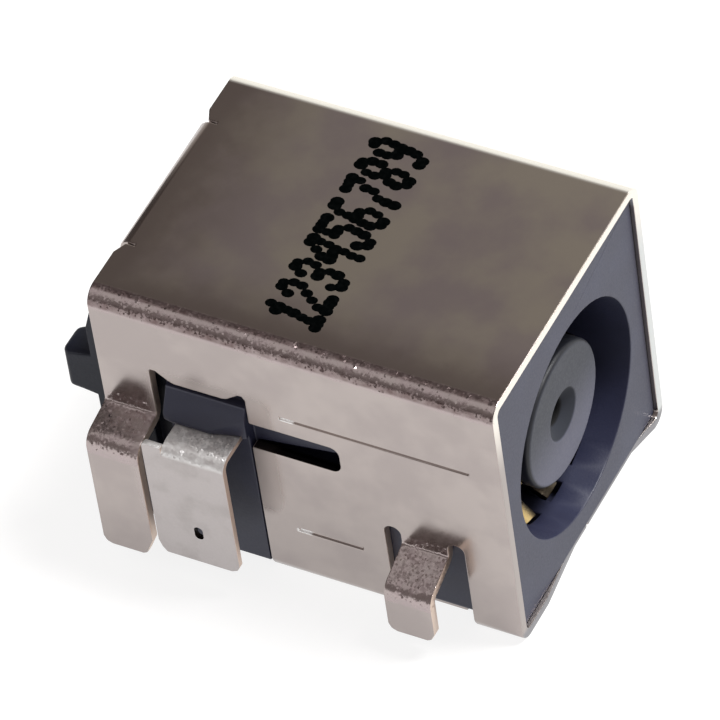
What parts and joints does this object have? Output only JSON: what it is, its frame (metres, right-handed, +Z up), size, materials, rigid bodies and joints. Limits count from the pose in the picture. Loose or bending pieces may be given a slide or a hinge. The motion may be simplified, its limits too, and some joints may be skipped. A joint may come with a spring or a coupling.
{
  "type": "dc barrel jack",
  "caption": "Board-mounted power socket in a folded metal shell with joggled feet, a round bore with a centre post and spring contacts inside.",
  "frame": {"origin": "middle of the shell's width, in the mouth plane, on the shell's underside", "axes": "+Z up, away from the underside; the mouth faces -Y and +Y runs into the jack; X across the width, with the plug's axis at X = 0"},
  "size_m": [0.013, 0.0152, 0.0105],
  "materials": {
    "shell": "nickel-plated, satin",
    "housing": "moulded, fine matt",
    "centre_post": "moulded, fine matt",
    "rear_cover": "moulded, fine matt",
    "outer_contact": "plated, satin",
    "inner_contact": "plated, satin",
    "pin_contact": "plated, satin"
  },
  "bodies": {
    "root": {"shell": "shell", "housing": "housing", "centre_post": "centre_post", "rear_cover": "rear_cover", "outer_contact": "outer_contact", "inner_contact": "inner_contact", "pin_contact": "pin_contact"}
  },
  "joints": []
}
